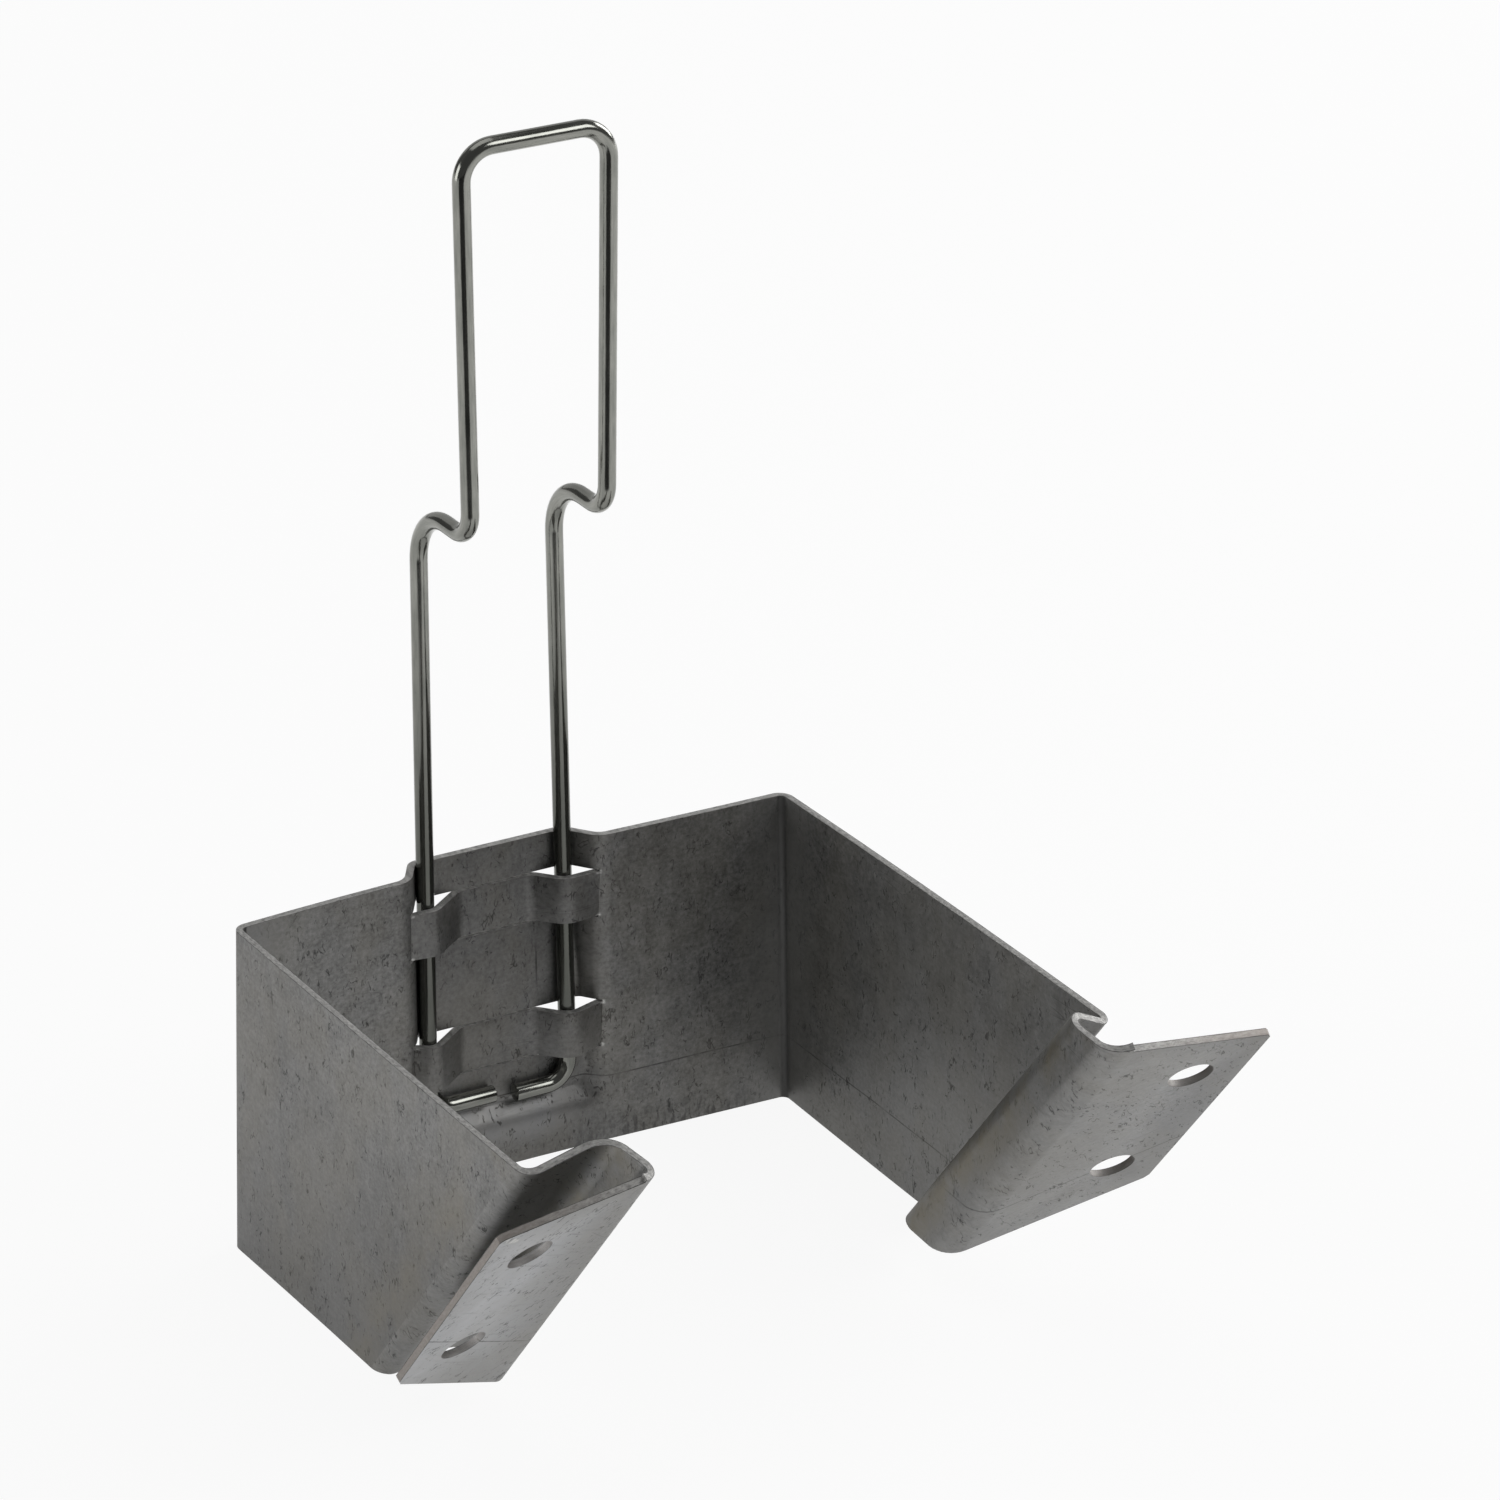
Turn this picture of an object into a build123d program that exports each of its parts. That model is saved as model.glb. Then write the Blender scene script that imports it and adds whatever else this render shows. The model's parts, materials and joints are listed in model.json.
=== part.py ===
from build123d import *
from math import atan2, cos, pi, radians, sin, tan
import os

# Wheel chock holder: a folded sheet pocket with a spring wire bail held behind two lanced straps.
# Origin: middle of the back plate's bottom edge, at half the sheet's thickness.
# +Z up, front of the pocket toward -Y.

# Sheet
sheet = 1.5
inside_width = 123.2
height = 67.6
cheek_length_bottom = 55.9
back_bow = 2.7
back_corner_radius = 1.5
back_flat_reach = 28.0

# Rear corners, how far each stands outward and back of a square pocket's: the bent sheet is a
# little out of true
left_out_bottom = 0.6
left_out_top = -0.2
left_back_bottom = -1.05
left_back_top = 0.0
right_out_bottom = 0.4
right_out_top = -2.2
right_back_bottom = 0.95
right_back_top = 1.45

# Raked front: the bend lines lean forward by this angle from upright
rake_angle = 38.0

# Folds of each front edge, in order from the cheek outward (radii at mid sheet)
inward_angle = 90.0
inward_radius = 2.65
inward_run = 6.8
return_angle = 86.3
return_radius = 4.65
forward_run = 4.7
flange_radius = 4.1
flange_underbend = 6.1

# Mounting flange
flange_width = 30.0
flange_top_drop = 1.1
flange_outer_length = 59.9
flange_corner = 0.8
hole_diameter = 9.0
hole_spacing = 38.3
hole_edge_distance = 11.2
hole_top_distance = 13.7

# Wire bail, centreline
wire_diameter = 3.5
bail_shift = -2.85
bail_tilt = 3.4
bail_y_foot = 0.35
bail_foot_height = 16.0
bail_right_drop = 1.0
bail_step_height = 142.0
bail_top_height = 218.8
bail_step = 20.6
bail_lean_back = 2.4
bail_width_foot = 31.3
bail_width_step = 29.4
bail_width_top = 31.4
bail_foot_radius = 5.0
bail_rear_radius = 10.6
bail_front_radius = 5.4
bail_top_radius = 6.35
bail_left_end = 14.4
bail_right_end = 12.2

# Recess and straps
wire_gap = 0.1
ramp_gap = 0.15
left_ramp_angle = 56.0
right_ramp_angle = 52.0
right_foot_top = 18.3
right_foot_bottom = 20.9
recess_foot_gap = 0.5
recess_close_angle = 38.0
recess_edge_radius = 1.6
recess_corner_radius = 5.0
foot_radius = 3.5
strap_height = 9.5
lower_strap_bottom = 21.3
upper_strap_bottom = 50.1
slit = 0.5
strap_left_angle = 35.0
strap_right_angle = 48.0
strap_left_crest_radius = 3.4
strap_right_crest_radius = 5.0
strap_landing_radius = 3.0

# Values that follow from the sizes above
outside_width = inside_width + 2 * sheet
mid_half_width = (inside_width + sheet) / 2
wire_radius = wire_diameter / 2
rake = radians(rake_angle)
slanted_height = height / cos(rake)
flange_angle = 90 - flange_underbend + inward_angle - return_angle
tilt_rate = tan(radians(bail_tilt))
bow_radius = ((outside_width / 2) ** 2 + back_bow**2) / (2 * back_bow)
bow_y = sheet / 2
fold_y = bow_y - back_bow - cheek_length_bottom
climb = tan(rake)


def bail_y(z):
    """Depth of the lower legs' centreline at height z."""
    return bail_y_foot + (z - bail_foot_height) * tilt_rate


def leg_x(z, side):
    """Sideways place of a lower leg at height z, side -1 left and 1 right."""
    share = (z - bail_foot_height) / (bail_step_height - bail_foot_height)
    width = bail_width_foot + (bail_width_step - bail_width_foot) * share
    return bail_shift + side * width / 2


def floor_y(z):
    """Depth of the recess floor's front face at height z."""
    return bail_y(z) + (wire_radius + wire_gap) / cos(radians(bail_tilt))


def plate_y(x):
    """Depth of the bowed back plate's front face at x."""
    inner_radius = bow_radius - sheet
    return (inner_radius**2 - x**2) ** 0.5 - inner_radius - sheet / 2


# Recess: the left ramp runs along the wire, the right one stands free of it
left_ramp = radians(left_ramp_angle)
right_ramp = radians(right_ramp_angle)


def foot_x(z, side):
    """Where a ramp's front face meets the plate's front face at height z."""
    if side > 0:
        return right_foot_bottom + (right_foot_top - right_foot_bottom) * z / height
    wire_x = leg_x(z, -1)
    depth = bail_y(z) - plate_y(wire_x - 2 * wire_diameter)
    return wire_x - (wire_radius + ramp_gap + depth * cos(left_ramp)) / sin(left_ramp)


def bent_face_y(edge, ramp):
    """Depth of the rounded front face where a slit ends on a ramp's foot."""
    return plate_y(edge) + (foot_radius + sheet) * (1 - (1 - tan(ramp / 2) ** 2) ** 0.5)


recess_face = plate_y(right_foot_top)
recess_foot = bail_foot_height - bail_right_drop - wire_radius - recess_foot_gap
recess_low = recess_foot - (floor_y(recess_foot) - plate_y(0)) / tan(radians(recess_close_angle))
recess_deepest = floor_y(height) + sheet


def ramp_plane(side, angle):
    """Front face of a side ramp, its normal pointing away from the recess."""
    low = Vector(foot_x(0, side), plate_y(foot_x(0, side)), 0)
    top = Vector(foot_x(height, side), plate_y(foot_x(height, side)), height)
    inward = Vector(-side * cos(angle), sin(angle), 0)
    return Plane(low, x_dir=top - low, z_dir=side * inward.cross(top - low))


floor_plane = Plane((0, floor_y(0), 0), x_dir=(1, 0, 0), z_dir=(0, 1, -tilt_rate))
low_plane = Plane(
    (0, floor_y(recess_foot), recess_foot),
    x_dir=(1, 0, 0),
    z_dir=(0, cos(radians(recess_close_angle)), -sin(radians(recess_close_angle))),
)
left_plane = ramp_plane(-1, left_ramp)
right_plane = ramp_plane(1, right_ramp)


def recess_form(grow, edge_radius, corner_radius, front):
    """The pressed form: a block cut down by the planes of its floor and walls."""
    with BuildPart() as form:
        Box(
            outside_width,
            4 * recess_deepest,
            height,
            align=(Align.CENTER, Align.CENTER, Align.MIN),
        )
        for wall in (floor_plane, low_plane, left_plane, right_plane):
            split(bisect_by=wall.offset(grow), keep=Keep.BOTTOM)
        left_corner, right_corner = [
            form.edges().sort_by_distance((foot_x(recess_low, side), recess_face, recess_low))[0]
            for side in (-1, 1)
        ]
        fillet([left_corner, right_corner], corner_radius)
        floor = form.faces().sort_by(Axis.Y)[-1]
        fillet(floor.edges().sort_by(Axis.Z)[:-1], edge_radius)
        split(bisect_by=Plane.XZ.offset(-front), keep=Keep.BOTTOM)
    return form.part


recess_inner = recess_form(0, recess_edge_radius, recess_corner_radius, recess_face - sheet / 2)
recess_outer = recess_form(
    sheet, recess_edge_radius + sheet, recess_corner_radius + sheet, recess_face + sheet / 2
)


def strap_corners(z, side, edge, ramp, angle, crest_radius):
    """Front line of half a strap: from the plate, round in front of the wire, to the floor."""
    reach = wire_radius + wire_gap + sheet
    out_x = abs(leg_x(z, side) - edge)
    edge_y = bent_face_y(edge, ramp)
    lift = radians(angle)
    bulge = 0.0
    # Rounds that settle the slope from the plate against the crest that clears the wire
    for _ in range(40):
        over = reach + crest_radius * (1 / cos((lift + bulge) / 2) - 1)
        crest_in = over * sin((lift - bulge) / 2)
        crest_y = bail_y(z) - over * cos((lift - bulge) / 2)
        bulge = atan2(edge_y - crest_y, out_x + crest_in)
    floor_in = crest_in + (floor_y(z) - crest_y) / tan(lift)
    start = (edge + side * sheet, edge_y + sheet * tan(bulge))
    crest = (leg_x(z, side) - side * crest_in, crest_y)
    landing = (leg_x(z, side) - side * floor_in, floor_y(z))
    return [start, crest, landing]


def strap_line(z, window):
    """Whole front line of a strap, rounded where it wraps the wires and where it lands."""
    left_crest, right_crest = strap_left_crest_radius, strap_right_crest_radius
    left = strap_corners(z, -1, window[0], left_ramp, strap_left_angle, left_crest)
    right = strap_corners(z, 1, window[1], right_ramp, strap_right_angle, right_crest)
    radii = [left_crest, strap_landing_radius, strap_landing_radius, right_crest]
    return FilletPolyline(*left, *reversed(right), radius=radii)


# Folded edge strip: it turns about lines along the rake, and its own edges climb as helices
up_rake = Vector(0, -sin(rake), cos(rake))
fold_frame = Plane(
    origin=(mid_half_width, fold_y, 0),
    x_dir=(0, -cos(rake), -sin(rake)),
    z_dir=up_rake,
)


def bend_edge(start, heading, angle, radius):
    """One bend of the strip's lower edge, turning by the angle, positive toward +Y."""
    turn = 1 if angle > 0 else -1
    arc = radius * radians(abs(angle))
    helix = Edge.make_helix(
        pitch=2 * pi * radius * climb,
        height=arc * climb,
        radius=radius,
        lefthand=turn < 0,
    )
    centre = start + Vector(0, turn * radius, 0).rotate(Axis.Z, heading)
    return Pos(*centre) * Rot(0, 0, heading - turn * 90) * helix


def run_edge(start, heading, length):
    """One straight run of the strip's lower edge."""
    return Edge.make_line(start, start + Vector(length, 0, length * climb).rotate(Axis.Z, heading))


inward_bend = bend_edge(Vector(0, 0, 0), 0, -inward_angle, inward_radius)
inward_line = run_edge(inward_bend @ 1, -inward_angle, inward_run)
return_heading = return_angle - inward_angle
return_bend = bend_edge(inward_line @ 1, -inward_angle, return_angle, return_radius)
forward_line = run_edge(return_bend @ 1, return_heading, forward_run)
flange_heading = return_heading + flange_angle
flange_bend = bend_edge(forward_line @ 1, return_heading, flange_angle, flange_radius)
fold_edges = [inward_bend, inward_line, return_bend, forward_line, flange_bend]
fold_path = fold_frame.location * Wire(fold_edges)
fold_top_path = Pos(*(up_rake * slanted_height)) * fold_path

flange_foot = fold_frame.from_local_coords(flange_bend @ 1)
flange_out = fold_frame.from_local_coords(Vector(1, 0, 0).rotate(Axis.Z, flange_heading))
flange_front = fold_frame.from_local_coords(Vector(0, -1, 0).rotate(Axis.Z, flange_heading))
flange_frame = Plane(
    origin=flange_foot,
    x_dir=flange_out - fold_frame.origin,
    z_dir=flange_front - fold_frame.origin,
)

# Right front edge: the folded strip, then the flange with its two bolt holes
with BuildPart() as front_fold:
    with BuildSketch(Plane(fold_frame.origin, x_dir=(1, 0, 0), z_dir=fold_frame.x_dir)):
        with Locations((0, slanted_height / 2)):
            Rectangle(sheet, slanted_height)
    sweep(path=fold_path, binormal=fold_top_path)
    split(bisect_by=Plane.XY, keep=Keep.TOP)
    with BuildSketch(flange_frame.offset(-sheet / 2)) as flange_sketch:
        outer_foot = flange_width * climb
        outer_head = outer_foot + flange_outer_length
        with BuildLine():
            Polyline(
                (0, 0),
                (flange_width, outer_foot),
                (flange_width, outer_head),
                (0, slanted_height - flange_top_drop),
                close=True,
            )
        make_face()
        chamfer(flange_sketch.vertices().sort_by(Axis.X)[-2:], flange_corner)
        hole_x = flange_width - hole_edge_distance
        with Locations(
            (hole_x, outer_head - hole_top_distance),
            (hole_x, outer_head - hole_top_distance - hole_spacing),
        ):
            Circle(hole_diameter / 2, mode=Mode.SUBTRACT)
    extrude(amount=sheet)


def rear_corner(side, outward, back):
    """Outer corner between the back plate and a cheek, before it is rounded."""
    return (side * (outside_width / 2 + outward), bow_y - back_bow + back)


left_corner_bottom = rear_corner(-1, left_out_bottom, left_back_bottom)
left_corner_top = rear_corner(-1, left_out_top, left_back_top)
right_corner_bottom = rear_corner(1, right_out_bottom, right_back_bottom)
right_corner_top = rear_corner(1, right_out_top, right_back_top)

# Bracket
with BuildPart() as bracket:
    # Back plate and cheeks: a U of sheet between its lower and its upper outline
    for level, left_corner, right_corner in (
        (0, left_corner_bottom, right_corner_bottom),
        (height, left_corner_top, right_corner_top),
    ):
        front_y = fold_y - level * climb
        flat_end_y = plate_y(back_flat_reach) + sheet
        with BuildSketch(Plane.XY.offset(level)) as wall_sketch:
            with BuildLine():
                back = ThreePointArc(
                    (-back_flat_reach, flat_end_y), (0, bow_y), (back_flat_reach, flat_end_y)
                )
                TangentArc(back @ 0, left_corner, tangent=(back % 0) * -1)
                TangentArc(back @ 1, right_corner, tangent=back % 1)
                TangentArc((-outside_width / 2, front_y), left_corner, tangent=(0, 1))
                TangentArc((outside_width / 2, front_y), right_corner, tangent=(0, 1))
                offset(amount=sheet, side=Side.RIGHT, kind=Kind.INTERSECTION)
            make_face()
            for corner in (left_corner, right_corner):
                for radius in (back_corner_radius + sheet, back_corner_radius):
                    sharp = wall_sketch.vertices().sort_by_distance((*corner, level))[0]
                    fillet(sharp, radius)
    loft(ruled=True)

    # Pressed recess: the outer form is added, then the inner form is cut away
    add(recess_outer)
    add(recess_inner, mode=Mode.SUBTRACT)

    # Soft bends where the plate turns into the recess, rear face and front face; the bend runs
    # on round the corners from the low edge picked here
    for face_y, radius in ((sheet / 2, foot_radius), (-sheet / 2, foot_radius + sheet)):
        low_edge = bracket.edges().sort_by_distance((0, face_y, recess_low))[0]
        fillet(low_edge, radius)

    # Lanced straps: a band of the recess is cut out and the strap put in its place
    for bottom in (lower_strap_bottom, upper_strap_bottom):
        window = [foot_x(bottom + strap_height / 2, side) for side in (-1, 1)]
        window_middle = (window[0] + window[1]) / 2
        window_width = window[1] - window[0]
        with BuildSketch(Plane.XY.offset(bottom - slit)):
            with Locations((window_middle, 0)):
                Rectangle(window_width, 4 * recess_deepest)
        extrude(amount=strap_height + 2 * slit, mode=Mode.SUBTRACT)
        for level in (bottom, bottom + strap_height):
            with BuildSketch(Plane.XY.offset(level)):
                with BuildLine():
                    strap_line(level, window)
                    offset(amount=sheet, side=Side.LEFT)
                make_face()
                with Locations((window_middle, 0)):
                    Rectangle(window_width, 4 * recess_deepest, mode=Mode.INTERSECT)
        loft(ruled=True)

    # Raked folds of both front edges
    add(front_fold.part)
    mirror(front_fold.part, about=Plane.YZ)

# Wire bail: one wire, from the left end round to the right end
upper_y_foot = bail_y(bail_step_height) - bail_step
upper_y_top = upper_y_foot + (bail_top_height - bail_step_height) * tan(radians(bail_lean_back))


def bail_corner(side, width, y, z):
    """A corner of the bail's centreline on one side."""
    return (bail_shift + side * width / 2, y, z)


def bail_leg(side, end_length, drop):
    """Corners of one leg, from its bent-in end up to the top corner."""
    foot_height = bail_foot_height - drop
    foot = bail_corner(side, bail_width_foot, bail_y(foot_height), foot_height)
    end = (foot[0] - side * end_length, foot[1], foot_height)
    rear = bail_corner(side, bail_width_step, bail_y(bail_step_height), bail_step_height)
    front = bail_corner(side, bail_width_step, upper_y_foot, bail_step_height)
    top = bail_corner(side, bail_width_top, upper_y_top, bail_top_height)
    return [end, foot, rear, front, top]


leg_radii = [bail_foot_radius, bail_rear_radius, bail_front_radius, bail_top_radius]

with BuildPart() as wire_bail:
    with BuildLine() as bail_path:
        FilletPolyline(
            *bail_leg(-1, bail_left_end, 0),
            *reversed(bail_leg(1, bail_right_end, bail_right_drop)),
            radius=leg_radii + list(reversed(leg_radii)),
        )
    with BuildSketch(Plane(bail_path.line @ 0, z_dir=bail_path.line % 0)):
        Circle(wire_radius)
    sweep()

bracket.part.label = "bracket"
wire_bail.part.label = "wire_bail"
os.makedirs("parts", exist_ok=True)
export_step(bracket.part, "parts/bracket.step")
export_step(wire_bail.part, "parts/wire_bail.step")
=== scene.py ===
import json
import bmesh
import bpy
import numpy as np
from math import cos, pi, radians, sin, tan
from types import SimpleNamespace
from mathutils import Matrix, Vector


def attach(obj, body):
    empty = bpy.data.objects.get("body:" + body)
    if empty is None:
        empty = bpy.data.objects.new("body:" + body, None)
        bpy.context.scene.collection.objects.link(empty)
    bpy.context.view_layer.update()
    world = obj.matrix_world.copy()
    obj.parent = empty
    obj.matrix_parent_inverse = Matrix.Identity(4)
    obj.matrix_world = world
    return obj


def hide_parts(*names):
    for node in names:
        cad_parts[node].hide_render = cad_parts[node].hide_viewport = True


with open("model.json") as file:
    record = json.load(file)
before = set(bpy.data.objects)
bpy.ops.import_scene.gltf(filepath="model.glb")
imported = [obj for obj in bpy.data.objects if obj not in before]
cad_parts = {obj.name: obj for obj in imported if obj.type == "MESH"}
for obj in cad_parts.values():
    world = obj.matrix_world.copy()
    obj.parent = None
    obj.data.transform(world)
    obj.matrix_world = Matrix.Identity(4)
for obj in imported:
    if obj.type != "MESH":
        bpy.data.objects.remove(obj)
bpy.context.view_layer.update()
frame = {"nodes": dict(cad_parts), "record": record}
mm = 0.001


# small helpers for node trees

def newMaterial(name):
    mat = bpy.data.materials.new(name)
    mat.use_nodes = True
    mat.node_tree.nodes.clear()
    return mat, mat.node_tree


def addNode(tree, kind, **values):
    n = tree.nodes.new(kind)
    for key, value in values.items():
        setattr(n, key, value)
    return n


def feed(tree, socket, value):
    # a number or a colour is set on the socket, anything else is linked to it
    if isinstance(value, (int, float)):
        socket.default_value = value
    elif isinstance(value, tuple):
        socket.default_value = (*value, 1)
    else:
        tree.links.new(value, socket)


def mathNode(tree, op, a, b=None, clamp=False):
    n = addNode(tree, "ShaderNodeMath", operation=op, use_clamp=clamp)
    feed(tree, n.inputs[0], a)
    if b is not None:
        feed(tree, n.inputs[1], b)
    return n.outputs[0]


def times(tree, first, *others, clamp=False):
    for other in others:
        first = mathNode(tree, "MULTIPLY", first, other, clamp)
    return first


def plus(tree, a, b, clamp=False):
    return mathNode(tree, "ADD", a, b, clamp)


def minus(tree, a, b, clamp=False):
    return mathNode(tree, "SUBTRACT", a, b, clamp)


def largest(tree, first, *others):
    for other in others:
        first = mathNode(tree, "MAXIMUM", first, other)
    return first


def fade(tree, share, low, high):
    # low where the share is 0, high where it is 1
    return plus(tree, times(tree, share, high - low), low)


def near(tree, source, centre, width):
    # 1 at the centre, falling to 0 at the given distance from it
    away = mathNode(tree, "ABSOLUTE", minus(tree, source, centre))
    return minus(tree, 1.0, mathNode(tree, "DIVIDE", away, width), clamp=True)


def ramp(tree, source, stops):
    n = addNode(tree, "ShaderNodeValToRGB")
    while len(n.color_ramp.elements) < len(stops):
        n.color_ramp.elements.new(0.5)
    for e, (place, shade) in zip(n.color_ramp.elements, stops):
        e.position = place
        e.color = (shade, shade, shade, 1) if isinstance(shade, (int, float)) else (*shade, 1)
    feed(tree, n.inputs[0], source)
    return n.outputs[0]


def rise(tree, source, start, end, top=1.0, bottom=0.0):
    # the bottom value up to the start, the top value from the end on
    return ramp(tree, source, ((start, bottom), (end, top)))


def stretched(tree, source, stretch, turn=0.0, move=(0, 0, 0)):
    n = addNode(tree, "ShaderNodeMapping")
    n.inputs["Scale"].default_value = stretch
    n.inputs["Rotation"].default_value = (0, 0, radians(turn))
    n.inputs["Location"].default_value = move
    feed(tree, n.inputs["Vector"], source)
    return n.outputs[0]


def noise(tree, vector, scale, detail, rough, twist=0.0, stretch=None, turn=0.0, move=(0, 0, 0)):
    if stretch:
        vector = stretched(tree, vector, stretch, turn, move)
    n = addNode(tree, "ShaderNodeTexNoise")
    n.inputs["Scale"].default_value = scale
    n.inputs["Detail"].default_value = detail
    n.inputs["Roughness"].default_value = rough
    n.inputs["Distortion"].default_value = twist
    feed(tree, n.inputs["Vector"], vector)
    return n.outputs["Fac"]


def blend(tree, parts):
    # weighted sum of noises about their middle value
    total = None
    for source, weight in parts:
        part = times(tree, minus(tree, source, 0.5), weight)
        total = part if total is None else plus(tree, total, part)
    return plus(tree, total, 0.5)


def mixColour(tree, share, a, b):
    n = addNode(tree, "ShaderNodeMix", data_type="RGBA")
    for socket, value in zip((n.inputs[0], n.inputs[6], n.inputs[7]), (share, a, b)):
        feed(tree, socket, value)
    return n.outputs[2]


def attribute(tree, name, output="Fac"):
    return addNode(tree, "ShaderNodeAttribute", attribute_name=name).outputs[output]


def axes(tree, vector):
    n = addNode(tree, "ShaderNodeSeparateXYZ")
    feed(tree, n.inputs[0], vector)
    return n.outputs


def bumpFrom(tree, height, strength, distance):
    n = addNode(tree, "ShaderNodeBump")
    n.inputs["Strength"].default_value = strength
    n.inputs["Distance"].default_value = distance * mm
    feed(tree, n.inputs["Height"], height)
    return n.outputs[0]


# camera, placed as the photograph was taken: place in mm, angles in degrees

photo = {
    "place": (-622.72, -1088.0, 678.78), "azimuth": -31.84, "elevation": 25.13, "roll": 1.48,
    "focalPixels": 7194.9, "imageWidth": 1500, "sensor": 36, "clipEnd": 20,
}


def makeCamera():
    az, el, roll = (radians(photo[k]) for k in ("azimuth", "elevation", "roll"))
    back = Vector((sin(az) * cos(el), -cos(az) * cos(el), sin(el)))
    right = Vector((cos(az), sin(az), 0))
    up = back.cross(right)
    side = cos(roll) * right + sin(roll) * up
    top = -sin(roll) * right + cos(roll) * up
    cam = bpy.data.cameras.new("photoCamera")
    cam.sensor_width = photo["sensor"]
    cam.lens = photo["focalPixels"] / photo["imageWidth"] * photo["sensor"]
    cam.clip_end = photo["clipEnd"]
    obj = bpy.data.objects.new("photoCamera", cam)
    bpy.context.scene.collection.objects.link(obj)
    turned = Matrix((side, top, back)).transposed().to_4x4()
    turned.translation = Vector(photo["place"]) * mm
    obj.matrix_world = turned
    bpy.context.scene.camera = obj


makeCamera()
print("camera placed")


# bent sheet: a copy of the solid, with its cut edges eased and its flat pattern worked out

sheet = {
    "thickness": 1.5, "outsideWidth": 126.2, "height": 67.6, "backBow": 2.7, "flatReach": 28.0,
    "cheekBottom": 55.9, "rake": 38.0,
    # rear corners, how far outward and back each stands, at its bottom and at its top
    "leftCorner": ((0.6, -1.05), (-0.2, 0.0)), "rightCorner": ((0.4, 0.95), (-2.2, 1.45)),
    "bends": ((-90.0, 2.65), (86.3, 4.65), (87.6, 4.1)),   # turn in degrees and radius, cheek to flange
    "runs": (6.8, 4.7, 34.0),
    "bendSteps": 24, "stepsPerMm": 5,
    "recess": (-27.0, 25.0),                   # from its left to its right foot bend
    "flangeGrows": 2.0,                        # past the last bend, until the flange counts in full
    "creaseReach": 1.5, "creaseSoft": 0.55,    # round the inside of a rear corner
    "sideSpread": 45.0,                        # keeps the marks of the two faces apart
    "weld": 0.002, "flatAngle": 0.4,           # joins the solid's loose triangles into large faces
    "edgeEase": 0.16, "edgeAngle": 50.0,       # shear rounding on the cut edges
    "smoothAngle": 32.0,
    # what counts as a cut edge: its span through the sheet, and how far it faces up or down
    "edgeSpan": 0.9, "edgeFacing": 0.9, "rimFacing": 0.35, "rimBand": 0.3,
    "holeReach": 5.2, "holeShare": 0.5,        # the bolt holes' walls count half
}


def foldLine():
    # the strip's middle line over its bends: forward, outward, length gone, and 1 on a bend
    here, heading, gone = np.array([0.0, 0.0]), 0.0, 0.0
    rows = [(0.0, 0.0, 0.0, 0.0)]
    for (turn, radius), run in zip(sheet["bends"], sheet["runs"]):
        part = radians(turn) / sheet["bendSteps"]
        for _ in range(sheet["bendSteps"]):
            heading += part / 2
            here = here + radius * abs(part) * np.array([cos(heading), sin(heading)])
            heading += part / 2
            gone += radius * abs(part)
            rows.append((here[0], here[1], gone, 1.0))
        steps = int(run * sheet["stepsPerMm"])
        for _ in range(steps):
            here = here + run / steps * np.array([cos(heading), sin(heading)])
            gone += run / steps
            rows.append((here[0], here[1], gone, 0.0))
    return np.array(rows)


def rearCorners(right, z):
    # outer rear corner at each height, on the left or the right side
    share = np.clip(z / sheet["height"], 0, 1)
    place = []
    for axis in (0, 1):
        ends = [[sheet[k][level][axis] for level in (0, 1)] for k in ("leftCorner", "rightCorner")]
        leftEnd, rightEnd = [low + (high - low) * share for low, high in ends]
        place.append(np.where(right, rightEnd, leftEnd))
    return sheet["outsideWidth"] / 2 + place[0], sheet["thickness"] / 2 - sheet["backBow"] + place[1]


def backMiddle(x, cornerX, cornerY):
    # the bowed back plate's middle plane, with a wing beyond its flat reach that ends at the corner
    bow, reach, half = sheet["backBow"], sheet["flatReach"], sheet["thickness"] / 2
    bowRadius = (sheet["outsideWidth"] ** 2 / 4 + bow ** 2) / (2 * bow)
    flatEnd = -reach ** 2 / (2 * bowRadius)
    wing = np.clip(x - reach, 0, None)
    wide = cornerX - reach
    bend = cornerY - half - flatEnd + wide * reach / bowRadius
    wingY = flatEnd - wing * reach / bowRadius + bend * (wing / wide) ** 2
    return np.where(x > reach, wingY, -x ** 2 / (2 * bowRadius))


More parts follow.
